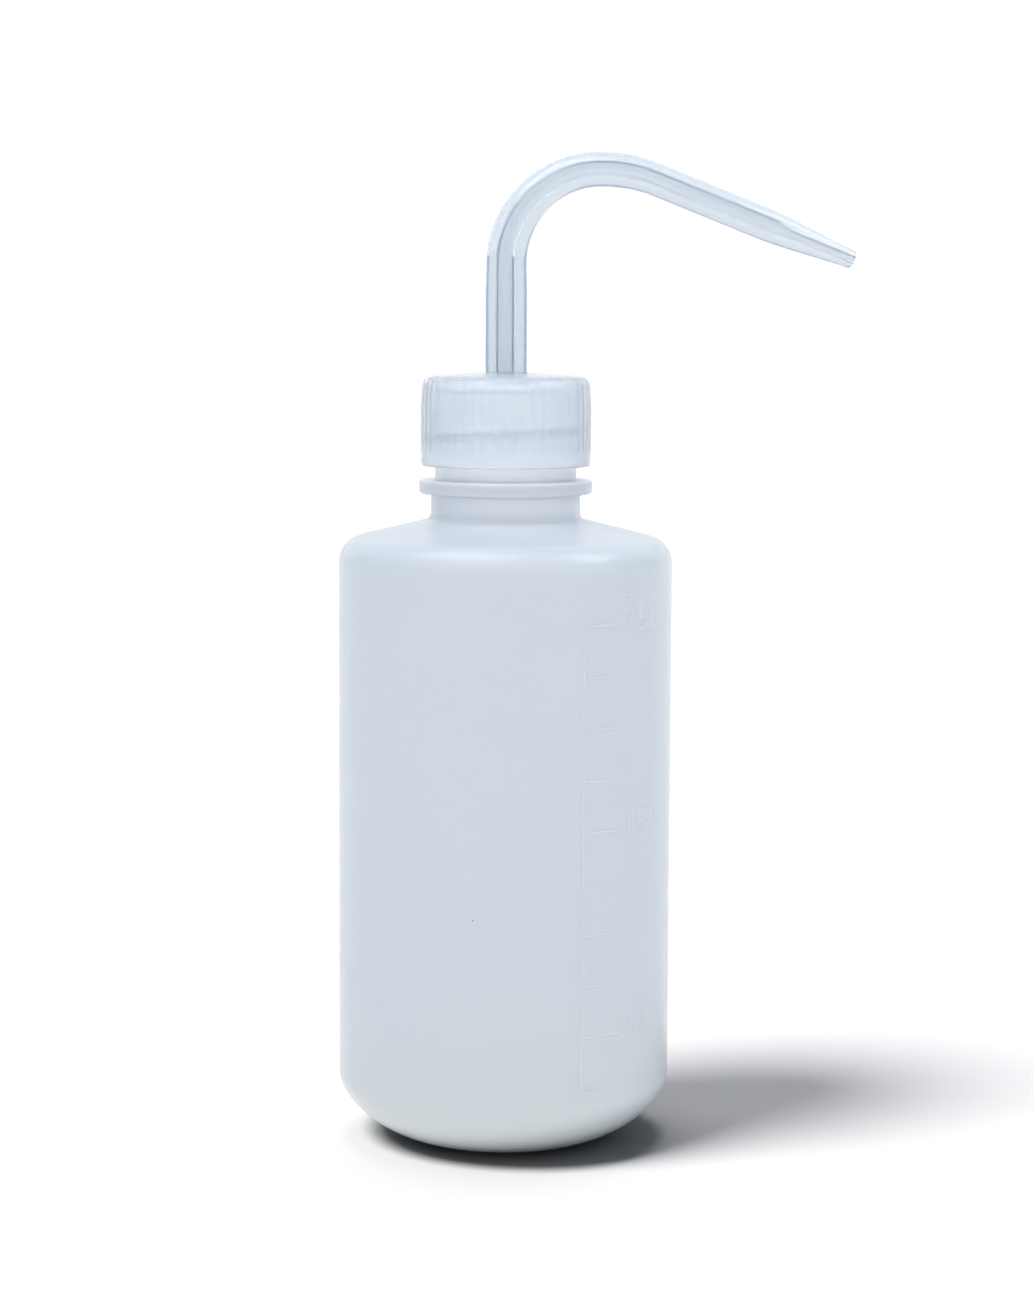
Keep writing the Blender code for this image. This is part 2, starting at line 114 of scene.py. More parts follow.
room = bpy.data.worlds.new("white_room")
room.use_nodes = True
bpy.context.scene.world = room
tree = room.node_tree
tree.nodes.clear()
path = add(tree, "ShaderNodeLightPath", {})
way = add(tree, "ShaderNodeTexCoord", {}).outputs["Generated"]
axes = add(tree, "ShaderNodeSeparateXYZ", {"Vector": way})
turns = {"Value": axes.outputs["Y"], "From Min": -ROOM_TURN, "From Max": ROOM_TURN}
level = add(tree, "ShaderNodeMapRange", {**turns, "To Min": ROOM_FRONT, "To Max": ROOM_BACK})
sides = add(tree, "ShaderNodeMath", {0: axes.outputs["X"]}, operation="ABSOLUTE")
outer = add(tree, "ShaderNodeMath", {0: sides.outputs[0], 1: axes.outputs["Z"]}, operation="MAXIMUM")
flags = add(
    tree,
    "ShaderNodeMapRange",
    {"Value": outer.outputs[0], "From Min": FLAG_START, "From Max": FLAG_FULL},
    interpolation_type="SMOOTHSTEP",
)
walls = add(tree, "ShaderNodeMix", {"Factor": flags.outputs["Result"]}, data_type="RGBA")
walls.inputs[6].default_value = linear(ROOM_WHITE)
walls.inputs[7].default_value = linear(FLAG_BLUE)
light = {"Color": walls.outputs[2], "Strength": level.outputs["Result"]}
lit = add(tree, "ShaderNodeBackground", light)
seen = add(tree, "ShaderNodeBackground", {"Color": linear(ROOM_WHITE), "Strength": BACKDROP})
both = add(tree, "ShaderNodeMixShader", {0: path.outputs["Is Camera Ray"]})
tree.links.new(lit.outputs[0], both.inputs[1])
tree.links.new(seen.outputs[0], both.inputs[2])
add(tree, "ShaderNodeOutputWorld", {"Surface": both.outputs[0]})


def toward(azimuth, elevation):
    """Unit vector towards an azimuth from the front and an elevation, in degrees."""
    around = math.radians(azimuth)
    up = math.radians(elevation)
    return Vector((math.sin(around) * math.cos(up), -math.cos(around) * math.cos(up), math.sin(up)))


table_only = bpy.data.collections.new("table_only")
table_only.objects.link(table_top)
for name, azimuth, elevation, strength, width in TABLE_LIGHTS:
    turn = toward(azimuth, elevation).to_track_quat("Z", "Y").to_euler()
    bpy.ops.object.light_add(type="SUN", rotation=turn)
    lamp = bpy.context.object
    lamp.name = name
    lamp.data.energy = strength
    lamp.data.angle = math.radians(width)
    lamp.light_linking.receiver_collection = table_only

table_left_out = bpy.data.collections.new("table_left_out")
table_left_out.objects.link(table_top)
table_left_out.collection_objects[0].light_linking.link_state = "EXCLUDE"
for name, azimuth, elevation, distance, width, height, power, in_gloss in SOFTBOXES:
    aim = Vector((0, 0, 90 * MM))
    way = toward(azimuth, elevation)
    turn = way.to_track_quat("Z", "Y").to_euler()
    bpy.ops.object.light_add(type="AREA", location=aim + way * distance, rotation=turn)
    lamp = bpy.context.object
    lamp.name = name
    lamp.data.shape = "RECTANGLE"
    lamp.data.size = width
    lamp.data.size_y = height
    lamp.data.energy = power
    lamp.visible_glossy = in_gloss
    lamp.visible_transmission = False
    lamp.light_linking.receiver_collection = table_left_out


# Bottle: blow moulded in one piece from low-density polyethylene, a soft milky skin about 1 mm
# thick with a full round base corner, a sloping shoulder and a neck with a stop flange.
# It is drawn up ring by ring from the floor inside, over the lip and down the outside.


def curve_round(centre, radius, first, last, count):
    """Points (r, z) of a round stretch of an outline, between two angles in degrees."""
    angles = [math.radians(first + (last - first) * i / count) for i in range(count + 1)]
    return [(centre[0] + radius * math.cos(a), centre[1] + radius * math.sin(a)) for a in angles]


def draw_up(name, outline, sides, poles=False):
    """Extrude a ring of edges along an outline of (radius, height) points in millimetres.

    With poles, the first and last points lie on the axis. Without, the outline closes on itself.
    """
    bpy.ops.object.select_all(action="DESELECT")
    points = outline[1:-1] if poles else outline + outline[:1]
    r, z = (value * MM for value in points[0])
    fill = "TRIFAN" if poles else "NOTHING"
    bpy.ops.mesh.primitive_circle_add(vertices=sides, radius=r, fill_type=fill)
    piece = bpy.context.object
    piece.name = name
    bpy.ops.object.mode_set(mode="EDIT")
    bpy.ops.mesh.select_all(action="SELECT")
    bpy.ops.transform.translate(value=(0, 0, z))
    if poles:
        bpy.ops.mesh.select_mode(type="EDGE")
        bpy.ops.mesh.select_all(action="DESELECT")
        bpy.ops.mesh.select_non_manifold()
    for next_r, next_z in points[1:]:
        next_r, next_z = next_r * MM, next_z * MM
        bpy.ops.mesh.extrude_region_move(TRANSFORM_OT_translate={"value": (0, 0, next_z - z)})
        share = next_r / r
        bpy.ops.transform.resize(value=(share, share, 1), center_override=(0, 0, next_z))
        r, z = next_r, next_z
    if poles:
        rise = outline[-1][1] * MM - z
        bpy.ops.mesh.extrude_region_move(TRANSFORM_OT_translate={"value": (0, 0, rise)})
        bpy.ops.mesh.merge(type="CENTER")
    bpy.ops.mesh.select_mode(type="VERT")
    bpy.ops.mesh.select_all(action="SELECT")
    bpy.ops.mesh.remove_doubles(threshold=0.002 * MM)
    bpy.ops.mesh.normals_make_consistent(inside=False)
    bpy.ops.object.mode_set(mode="OBJECT")
    return piece


def pick(piece, test):
    """Go into edit mode with only the vertices whose place passes the test selected."""
    bpy.ops.object.mode_set(mode="EDIT")
    bpy.ops.mesh.select_mode(type="VERT")
    bpy.ops.mesh.select_all(action="DESELECT")
    bpy.ops.object.mode_set(mode="OBJECT")
    for vertex in piece.data.vertices:
        vertex.select = test(vertex.co)
    bpy.ops.object.mode_set(mode="EDIT")


def join_on(piece, others):
    """Weld other closed shapes on to a piece by Boolean unions, and remove them."""
    for other in others:
        union = piece.modifiers.new("weld", "BOOLEAN")
        union.operation = "UNION"
        union.object = other
        union.solver = "EXACT"
        bpy.ops.object.select_all(action="DESELECT")
        bpy.context.view_layer.objects.active = piece
        piece.select_set(True)
        bpy.ops.object.modifier_apply(modifier=union.name)
        bpy.data.objects.remove(other, do_unlink=True)


def smooth(piece, degrees=35):
    """Shade smooth, with edges sharper than the angle left crisp."""
    bpy.ops.object.select_all(action="DESELECT")
    bpy.context.view_layer.objects.active = piece
    piece.select_set(True)
    bpy.ops.object.shade_smooth_by_angle(angle=math.radians(degrees))


THREAD_PITCH = 25.4 / 6
CREST_ROUND = 0.18


def wind_thread(name, root, crest, root_width, crest_width, top, turns, steps):
    """A closed right-hand helical ridge of trapezium section, its crest rounded. Sizes in mm.

    Root and crest are radii, top is the height of its upper end, and steps is segments to a turn.
    """
    bpy.ops.object.select_all(action="DESELECT")
    middle = (root + crest) / 2 * MM
    bpy.ops.mesh.primitive_plane_add(size=1, rotation=(math.pi / 2, 0, 0))
    ridge = bpy.context.object
    ridge.name = name
    bpy.ops.object.transform_apply(location=False, rotation=True, scale=False)
    bpy.ops.object.mode_set(mode="EDIT")
    bpy.ops.mesh.select_all(action="SELECT")
    bpy.ops.transform.resize(value=(abs(crest - root) * MM, 1, root_width * MM))
    bpy.ops.transform.translate(value=(middle, 0, top * MM - THREAD_PITCH * turns * MM))
    outward = 1 if crest > root else -1
    pick(ridge, lambda co: (co.x - middle) * outward > 0)
    bpy.ops.transform.resize(value=(1, 1, crest_width / root_width))
    bpy.ops.mesh.bevel(offset=CREST_ROUND * MM, segments=3, affect="VERTICES")
    bpy.ops.object.mode_set(mode="OBJECT")
    screw = ridge.modifiers.new("wind", "SCREW")
    screw.axis = "Z"
    screw.angle = 2 * math.pi * turns
    screw.screw_offset = THREAD_PITCH * turns * MM
    screw.steps = round(steps * turns)
    screw.render_steps = screw.steps
    screw.use_merge_vertices = False
    bpy.ops.object.modifier_apply(modifier=screw.name)
    bpy.ops.object.mode_set(mode="EDIT")
    bpy.ops.mesh.select_mode(type="EDGE")
    bpy.ops.mesh.select_all(action="DESELECT")
    bpy.ops.mesh.select_non_manifold()
    bpy.ops.mesh.fill_holes(sides=0)
    bpy.ops.mesh.select_all(action="SELECT")
    bpy.ops.mesh.normals_make_consistent(inside=False)
    bpy.ops.object.mode_set(mode="OBJECT")
    return ridge


BODY_RADIUS = 30.44
BODY_SIDES = 256
WALL = 1.0
BASE_FLAT = 13.5
BASE_CORNER_HEIGHT = 12.0
BASE_CORNER_POWER = 1.7
FLOOR = 1.5
SLOPE = 14
SHOULDER_ROUND = 5.0
NECK_FOOT = 114.4
NECK_LOWER = 13.65
FLANGE_RADIUS = 15.8
FLANGE_BOTTOM = 118.9
FLANGE_TOP = 121.4
FLANGE_ROUND = 0.55
NECK_RADIUS = 12.9
NECK_HOLLOW = 12.2
NECK_BORE = 10.9
NECK_ROUND = 0.4
FOOT_ROUND = 1.2
LIP = 137.2
THREAD_CREST = 13.8
THREAD_TOP = 134.3
NECK_TURNS = 1.5


def base_corner(flat, radius, bottom, top, count):
    """Points of the full base corner, a flattened quarter oval, from the flat out to the wall."""
    points = []
    for i in range(count + 1):
        angle = math.pi / 2 * (1 - i / count)
        across = math.cos(angle) ** (2 / BASE_CORNER_POWER)
        down = math.sin(angle) ** (2 / BASE_CORNER_POWER)
        points.append((flat + (radius - flat) * across, top - (top - bottom) * down))
    return points


def shoulder(radius, corner, foot_radius, foot, count):
    """Points of the rounded shoulder edge, from the wall up to where the straight slope starts."""
    lean = math.radians(SLOPE)
    meet = foot - (radius - corner + corner * math.sin(lean) - foot_radius) * math.tan(lean)
    centre = (radius - corner, meet - corner * math.cos(lean))
    return curve_round(centre, corner, 0, 90 - SLOPE, count)


inside = [(0, FLOOR + 0.9), (4, FLOOR + 0.85), (8, FLOOR + 0.55), (11, FLOOR + 0.12)]
inside += base_corner(BASE_FLAT - 0.75, BODY_RADIUS - WALL, FLOOR, BASE_CORNER_HEIGHT, 18)
inside += shoulder(BODY_RADIUS - WALL, SHOULDER_ROUND - WALL, NECK_HOLLOW, NECK_FOOT - 1.2, 8)
inside += [(NECK_HOLLOW + 0.4, NECK_FOOT - 1.3), (NECK_HOLLOW + 0.1, NECK_FOOT - 1.0)]
inside += [(NECK_HOLLOW, NECK_FOOT - 0.5), (NECK_HOLLOW, FLANGE_BOTTOM), (NECK_BORE, FLANGE_TOP)]
outside = curve_round((NECK_BORE + NECK_ROUND, LIP - NECK_ROUND), NECK_ROUND, 180, 90, 4)
outside += curve_round((NECK_RADIUS - NECK_ROUND, LIP - NECK_ROUND), NECK_ROUND, 90, 0, 4)
outside += curve_round((NECK_RADIUS + NECK_ROUND, FLANGE_TOP + NECK_ROUND), NECK_ROUND, 180, 270, 4)
rim = FLANGE_RADIUS - FLANGE_ROUND
outside += curve_round((rim, FLANGE_TOP - FLANGE_ROUND), FLANGE_ROUND, 90, 0, 6)
outside += curve_round((rim, FLANGE_BOTTOM + FLANGE_ROUND), FLANGE_ROUND, 0, -90, 6)
outside += curve_round((NECK_LOWER + NECK_ROUND, FLANGE_BOTTOM - NECK_ROUND), NECK_ROUND, 90, 180, 4)
outside += curve_round((NECK_LOWER + FOOT_ROUND, NECK_FOOT + 0.92), FOOT_ROUND, 180, 270 - SLOPE, 6)
outside += shoulder(BODY_RADIUS, SHOULDER_ROUND, NECK_LOWER, NECK_FOOT, 14)[::-1]
outside += [(BODY_RADIUS, z) for z in range(102, 14, -4)]
outside += base_corner(BASE_FLAT, BODY_RADIUS, 0, BASE_CORNER_HEIGHT, 26)[::-1]
outside += [(12.9, 0.05), (12.2, 0.3), (11, 0.62), (8, 0.95), (4, 1.1), (0, 1.15)]
bottle_shell = draw_up("bottle_shell", inside + outside, BODY_SIDES, poles=True)
neck_thread = wind_thread(
    "neck_thread", NECK_RADIUS - 0.4, THREAD_CREST, 1.8, 1.0, THREAD_TOP, NECK_TURNS, BODY_SIDES
)

# The parting line of the two mould halves, a hair's breadth proud down both sides.
PARTING = 0.06
pick(
    bottle_shell,
    lambda co: abs(co.y) < 0.01 * MM and abs(co.x) > (BODY_RADIUS - 0.5) * MM,
)
share = 1 + PARTING / BODY_RADIUS
bpy.ops.transform.resize(value=(share, 1, 1), center_override=(0, 0, 0))
bpy.ops.object.mode_set(mode="OBJECT")

# Graduations, engraved in the mould and so standing proud of the wall: an upright line, a mark
# every 25 ml and a number at 50, 150 and 250 ml. They are laid out flat and wrapped round the wall.
MARK_FIRST = 14.8
MARK_STEP = 9.15
MARK_COUNT = 10
MARK_PROUD = 0.11
MARK_WIDTH = 0.42
LINE_AT = math.radians(27.4)
LONG_MARK = math.radians(13.4)
SHORT_MARK = math.radians(9.0)
MARK_GAP = 0.6
MARK_DRAFT = 0.14
BAR_DEPTH = 0.6
BAR_CUT = 0.9
NUMBER_AT = math.radians(43.6)
NUMBER_DROP = 1.3
NUMBER_HEIGHT = 4.8
DIGIT_SHARE = 0.70
DIGIT_DEPTH = 0.20
DIGIT_BEVEL = 0.05
DIGIT_SPACING = 1.12


def lay_bar(width, height, middle):
    """A flat bar with sloping sides, cut across so that it bends round the wall. Sizes in mm."""
    bpy.ops.mesh.primitive_cube_add(size=1)
    bar = bpy.context.object
    bpy.ops.object.mode_set(mode="EDIT")
    bpy.ops.mesh.select_all(action="SELECT")
    bpy.ops.transform.resize(value=(width * MM, height * MM, BAR_DEPTH * MM))
    bpy.ops.mesh.bisect(plane_co=(0, 0, 0), plane_no=(0, 0, 1))
    bpy.ops.object.mode_set(mode="OBJECT")
    cuts = round(width / BAR_CUT)
    for i in range(1, cuts):
        bpy.ops.object.mode_set(mode="EDIT")
        bpy.ops.mesh.select_all(action="SELECT")
        across = (i / cuts - 0.5) * width * MM
        bpy.ops.mesh.bisect(plane_co=(across, 0, 0), plane_no=(1, 0, 0))
        bpy.ops.object.mode_set(mode="OBJECT")
    pick(bar, lambda co: co.z > BAR_DEPTH / 3 * MM)
    bpy.ops.transform.translate(value=(0, 0, (MARK_PROUD - BAR_DEPTH / 2) * MM))
    pull = (1 - MARK_DRAFT / width, 1 - MARK_DRAFT / height, 1)
    bpy.ops.transform.resize(value=pull, center_override=(0, 0, 0))
    bpy.ops.mesh.select_all(action="SELECT")
    bpy.ops.transform.translate(value=(middle[0] * MM, middle[1] * MM, 0))
    bpy.ops.object.mode_set(mode="OBJECT")
    return bar


bpy.ops.object.select_all(action="DESELECT")
top_mark = MARK_FIRST + MARK_STEP * (MARK_COUNT - 1)
line_x = LINE_AT * BODY_RADIUS
marks = [lay_bar(MARK_WIDTH, top_mark - MARK_FIRST, (line_x, (top_mark + MARK_FIRST) / 2))]
for i in range(MARK_COUNT):
    length = (SHORT_MARK if i % 2 == 0 else LONG_MARK) * BODY_RADIUS
    middle = (line_x + MARK_GAP + length / 2, MARK_FIRST + MARK_STEP * i)
    marks.append(lay_bar(length, MARK_WIDTH, middle))
for i, number in ((1, "50"), (5, "150"), (9, "250")):
    bpy.ops.object.text_add()
    digits = bpy.context.object
    digits.data.body = number
    digits.data.size = NUMBER_HEIGHT / DIGIT_SHARE * MM
    digits.data.extrude = DIGIT_DEPTH * MM
    digits.data.bevel_depth = DIGIT_BEVEL * MM
    digits.data.bevel_resolution = 1
    digits.data.resolution_u = 6
    digits.data.space_character = DIGIT_SPACING
    bpy.ops.object.convert(target="MESH")
    digits = bpy.context.object
    bpy.ops.object.mode_set(mode="EDIT")
    bpy.ops.mesh.select_all(action="SELECT")
    bpy.ops.mesh.remove_doubles(threshold=0.001 * MM)
    foot = MARK_FIRST + MARK_STEP * i - NUMBER_DROP
    sunk = MARK_PROUD - DIGIT_DEPTH - DIGIT_BEVEL
    bpy.ops.transform.translate(value=(NUMBER_AT * BODY_RADIUS * MM, foot * MM, sunk * MM))
    bpy.ops.object.mode_set(mode="OBJECT")
    marks.append(digits)
for mark in marks:
    for vertex in mark.data.vertices:
        along, height, proud = vertex.co
        around = along / (BODY_RADIUS * MM)
        radius = BODY_RADIUS * MM + proud
        vertex.co = (radius * math.sin(around), -radius * math.cos(around), height)
bpy.ops.object.select_all(action="DESELECT")
for mark in marks:
    mark.select_set(True)
bpy.context.view_layer.objects.active = marks[0]
bpy.ops.object.join()
graduations = bpy.context.object
graduations.name = "graduations"

join_on(bottle_shell, [neck_thread, graduations])
smooth(bottle_shell)
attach(bottle_shell, "bottle")
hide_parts("bottle")

# Low-density polyethylene blown against a blasted mould: milky and see-through only to light, with
# a soft gloss and faint clouds where the wall varies. The lower neck is lighter, partly because its
# thick wall is whiter and partly as painted light that lifts the shade under the flange. The flange
# is painted darker, as painted shade against the light that falls on its upward face, and the neck
# above the flange is painted lighter, as painted light that lifts the shade of the cap and flange.
# The blasted grain is really a tenth of a millimetre or less, and is drawn coarser so that it shows.
MILK_COOL = "#D1D7E1"
MILK_GREEN = "#D4DCDE"
MILK_WARM = "#D3D9D9"
# Painted light on the lower neck: lighter, partly for its thick wall and partly to lift the shade under
# the flange.
MILK_THICK_AND_PAINTED_LIGHT = "#E2E7EC"
# Painted shade on the flange: darker, against the light that falls on its upward face.
FLANGE_PAINTED_SHADE = "#BEC3C9"
# Painted light on the neck above the flange: lighter, to lift the shade of the cap and the flange.
NECK_PAINTED_LIGHT = "#E0E2E4"
SPECK = "#8E949A"
SPECK_SPACING = 9
SPECK_RADIUS = 0.162
WARM_FROM = 4
WARM_TO = 42
GLOSS_PATCH = 14


def clouded(tree, place, size, first, second):
    """Two colours mixed by soft clouds of a size in millimetres."""
    cloud = add(tree, "ShaderNodeTexNoise", {"Vector": place, "Scale": 1 / (size * MM), "Detail": 2.0})
    mix = add(tree, "ShaderNodeMix", {"Factor": cloud.outputs["Fac"]}, data_type="RGBA")
    mix.inputs[6].default_value = linear(first)
    mix.inputs[7].default_value = linear(second)
    return mix.outputs[2]


def blend_by_height(tree, height, low, high, below, above):
    """Mix two colours or sockets over a stretch of height, in millimetres."""
    share = add(
        tree,
        "ShaderNodeMapRange",
        {"Value": height, "From Min": low * MM, "From Max": high * MM},
        interpolation_type="SMOOTHSTEP",
    )
    mix = add(tree, "ShaderNodeMix", {"Factor": share.outputs["Result"]}, data_type="RGBA")
    for colour, slot in ((below, mix.inputs[6]), (above, mix.inputs[7])):
        if isinstance(colour, bpy.types.NodeSocket):
            tree.links.new(colour, slot)
        else:
            slot.default_value = colour
    return mix.outputs[2]


def skin_detail(tree, surface, place, gloss, grain, ripple):
    """Uneven gloss, a fine grain and a slow ripple.

    Gloss is the lowest and highest roughness. Grain and ripple are each a size and a depth in mm.
    """
    broad = {"Vector": place, "Scale": 1 / (GLOSS_PATCH * MM), "Detail": 3.0}
    patches = add(tree, "ShaderNodeTexNoise", broad)
    spread = {"Value": patches.outputs["Fac"], "From Min": 0.3, "From Max": 0.7}
    rough = add(tree, "ShaderNodeMapRange", {**spread, "To Min": gloss[0], "To Max": gloss[1]})
    tree.links.new(rough.outputs["Result"], surface.inputs["Roughness"])
    fine = add(tree, "ShaderNodeTexNoise", {"Vector": place, "Scale": 1 / (grain[0] * MM), "Detail": 2.0})
    slow = add(tree, "ShaderNodeTexNoise", {"Vector": place, "Scale": 1 / (ripple[0] * MM), "Detail": 1.0})
    small = add(tree, "ShaderNodeBump", {"Height": fine.outputs["Fac"], "Distance": grain[1] * MM})
    waves = {"Height": slow.outputs["Fac"], "Distance": ripple[1] * MM}
    large = add(tree, "ShaderNodeBump", {**waves, "Normal": small.outputs["Normal"]})
    tree.links.new(large.outputs["Normal"], surface.inputs["Normal"])


soft_ldpe = bpy.data.materials.new("blow_moulded_ldpe")
soft_ldpe.use_nodes = True
tree = soft_ldpe.node_tree
surface = tree.nodes["Principled BSDF"]
place = add(tree, "ShaderNodeTexCoord", {}).outputs["Object"]
height = add(tree, "ShaderNodeSeparateXYZ", {"Vector": place}).outputs["Z"]
skin = clouded(tree, place, 40, MILK_COOL, MILK_GREEN)
lower = blend_by_height(tree, height, WARM_FROM, WARM_TO, linear(MILK_WARM), skin)
# The lower neck gets its lighter colour: partly the thick wall, partly painted light.
neck = blend_by_height(tree, height, NECK_FOOT - 3.4, NECK_FOOT + 2.6, lower, linear(MILK_THICK_AND_PAINTED_LIGHT))
# The flange gets its darker colour: painted shade.
flange = blend_by_height(
    tree, height, FLANGE_BOTTOM - 0.5, FLANGE_BOTTOM + 0.3, neck, linear(FLANGE_PAINTED_SHADE)
)
# The neck above the flange gets its lighter colour: painted light. The result carries the painted light
# and painted shade above.
milk_with_painted_light_and_shade = blend_by_height(tree, height, FLANGE_TOP - 0.3, FLANGE_TOP + 0.5, flange, linear(NECK_PAINTED_LIGHT))
spots = {"Vector": place, "Scale": 1 / (SPECK_SPACING * MM), "Randomness": 1.0}
grains = add(tree, "ShaderNodeTexVoronoi", spots)
near = {0: grains.outputs["Distance"], 1: SPECK_RADIUS / SPECK_SPACING}
dot = add(tree, "ShaderNodeMath", near, operation="LESS_THAN")
specked = add(tree, "ShaderNodeMix", {"Factor": dot.outputs[0]}, data_type="RGBA")
tree.links.new(milk_with_painted_light_and_shade, specked.inputs[6])
specked.inputs[7].default_value = linear(SPECK)
tree.links.new(specked.outputs[2], surface.inputs["Base Color"])
skin_detail(tree, surface, place, gloss=(0.19, 0.26), grain=(0.5, 0.004), ripple=(18, 0.12))
surface.inputs["Subsurface Weight"].default_value = 1.0
surface.inputs["Subsurface Radius"].default_value = (1.0, 0.9, 0.8)
surface.inputs["Subsurface Scale"].default_value = 4.0 * MM
surface.inputs["IOR"].default_value = 1.51
bottle_shell.data.materials.clear()
bottle_shell.data.materials.append(soft_ldpe)


# Screw cap: injection moulded polypropylene, stiffer and clearer than the bottle, with fifty fine
# grip ribs above a plain band, an inner thread and a round hole for the spout.
CAP_SIDES = 400
CAP_RADIUS = 15.5
CAP_TOP_RADIUS = 15.3
CAP_BORE = 14.1
CAP_BOTTOM = 123.9
CAP_TOP = 140.9
CAP_CROWN = 0.7
CAP_ROUND = 2.0
CAP_ROOF = 139.1
CAP_HOLE = 4.15
CAP_FLARE = 3.7
CAP_THREAD_CREST = 13.2
CAP_TURNS = 1.25
THREAD_DROP = 1.5
BAND_TOP = 126.9
RIBS = 50
GROOVE_DEPTH = 0.10

edge = CAP_TOP_RADIUS - CAP_ROUND
side_top = CAP_TOP - CAP_CROWN - CAP_ROUND
flare = CAP_RADIUS - CAP_TOP_RADIUS
crown = [(r, CAP_TOP - CAP_CROWN * (r / edge) ** 2) for r in (CAP_HOLE + 0.3, 6, 8, 10, 12)]
outline = [(CAP_HOLE, CAP_TOP - 0.4)] + crown
outline += curve_round((edge, side_top), CAP_ROUND, 90, 0, 10)
outline += [(CAP_TOP_RADIUS + flare * i / 4, side_top - CAP_FLARE * i / 4) for i in range(1, 5)]
outline += [(CAP_RADIUS, z) for z in (130.5, BAND_TOP + 0.25, BAND_TOP, BAND_TOP - 0.3)]
outline += curve_round((CAP_RADIUS - 0.5, CAP_BOTTOM + 0.5), 0.5, 0, -90, 5)
outline += [(CAP_BORE + 0.5, CAP_BOTTOM), (CAP_BORE + 0.15, CAP_BOTTOM + 0.35)]
outline += [(CAP_BORE, CAP_BOTTOM + 0.8)]
outline += curve_round((CAP_BORE - 0.6, CAP_ROOF - 0.6), 0.6, 0, 90, 5)
outline += [(CAP_HOLE + 0.2, CAP_ROOF), (CAP_HOLE, CAP_ROOF + 0.2)]
cap_shell = draw_up("cap_shell", outline, CAP_SIDES)


def in_groove(co, columns):
    """True on the outer side of the ribbed stretch, in the given columns of each rib's eight."""
    ribbed = math.hypot(co.x, co.y) > (CAP_TOP_RADIUS - 0.5) * MM and co.z > (BAND_TOP + 0.1) * MM
    column = round(math.atan2(co.y, co.x) / (2 * math.pi) * CAP_SIDES) % (CAP_SIDES // RIBS)
    return ribbed and column in columns


# Each groove is pressed in twice, the second time narrower, which gives it a rounded bottom.
share = 1 - GROOVE_DEPTH / 2 / CAP_RADIUS
for columns in ((0, 1, 2, 3, 4), (1, 2, 3)):
    pick(cap_shell, lambda co: in_groove(co, columns))
    bpy.ops.transform.resize(value=(share, share, 1), center_override=(0, 0, 0))
    bpy.ops.object.mode_set(mode="OBJECT")

# The cap's thread lies under the neck's, the same drop below it all the way round.
cap_thread_top = THREAD_TOP - THREAD_DROP - THREAD_PITCH * (NECK_TURNS - CAP_TURNS)
cap_thread = wind_thread(
    "cap_thread", CAP_BORE + 0.4, CAP_THREAD_CREST, 1.6, 0.9, cap_thread_top, CAP_TURNS, BODY_SIDES
)
join_on(cap_shell, [cap_thread])
smooth(cap_shell, 30)
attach(cap_shell, "cap")
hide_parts("screw_cap")

# Clear polypropylene with a slight blue haze: light passes, and the thread inside shows faintly.
# The cap casts no shadow, or the closed shell would leave the neck and the thread inside it dark.
CAP_TINT = "#EDF2F8"
CAP_CLOUD = "#E6EDF7"
CAP_DEPTH = "#AAD4ED"
hard_pp = bpy.data.materials.new("moulded_polypropylene")
hard_pp.use_nodes = True
tree = hard_pp.node_tree
surface = tree.nodes["Principled BSDF"]
place = add(tree, "ShaderNodeTexCoord", {}).outputs["Object"]
tree.links.new(clouded(tree, place, 9, CAP_TINT, CAP_CLOUD), surface.inputs["Base Color"])
skin_detail(tree, surface, place, gloss=(0.07, 0.13), grain=(0.6, 0.002), ripple=(6, 0.03))
surface.inputs["Subsurface Weight"].default_value = 1.0
surface.inputs["Subsurface Radius"].default_value = (1.0, 0.95, 0.9)
surface.inputs["Subsurface Scale"].default_value = 2.5 * MM
surface.inputs["Transmission Weight"].default_value = 0.60
surface.inputs["IOR"].default_value = 1.49
haze = add(tree, "ShaderNodeVolumeAbsorption", {"Color": linear(CAP_DEPTH), "Density": 5})
tree.links.new(haze.outputs[0], tree.nodes["Material Output"].inputs["Volume"])
cap_shell.data.materials.clear()
cap_shell.data.materials.append(hard_pp)
cap_shell.visible_shadow = False


# Spout: a thick-walled tube of clear polyethylene, heated and bent over twice, its end drawn down
# to a fine jet. It is made straight and then bent along its centre line.
STEM_FOOT = 131.4
BEND_START = 160.4
BEND_RADIUS = 17.0
EASY_RADIUS = 28.0
ARM_SLOPE = math.radians(21.7)
ARM_LENGTH = 38.2
TAPER = 15.6
STEM_RADIUS = 3.75
DRAWN_STEM = 0.13
DRAWN_BEND = 0.52
DRAWN_ARM = 0.20
DRAWN_TIP = 1.35
COLLAR_RADIUS = 5.5
COLLAR_TOP = 138.8
COLLAR_BOTTOM = 138.1
SPOUT_SIDES = 192
BORE_SHARE = 0.345
BORE_OFFSET = 0.15
JET = 0.55
QUARTER_HANDLE = 0.5523

stem_length = BEND_START - STEM_FOOT
bend_length = BEND_RADIUS * math.pi / 2
easy_length = EASY_RADIUS * ARM_SLOPE
arm_start = stem_length + bend_length + easy_length
tip = arm_start + ARM_LENGTH
taper_start = tip - TAPER


def ease(low, high, value):
    """0 below low, 1 above high, and a smooth climb between."""
    t = min(1, max(0, (value - low) / (high - low)))
    return t * t * (3 - 2 * t)


def tube_radius(s):
    """Outer radius of the spout at a length along it: full, a little drawn by the bend, then the tip."""
    drawn = STEM_RADIUS - DRAWN_STEM * ease(24, stem_length, s)
    drawn -= DRAWN_BEND * ease(stem_length, stem_length + bend_length, s)
    drawn -= DRAWN_ARM * ease(stem_length + bend_length, arm_start, s)
    return drawn - DRAWN_TIP * ease(taper_start - 2, tip + 3, s) ** 0.9


def bore_radius(s):
    """Bore radius: drawn in step with the outside, then necking down to the jet."""
    drawn = BORE_SHARE * tube_radius(min(s, taper_start - 2))
    return drawn - (drawn - JET) * ease(taper_start, taper_start + 4, s)


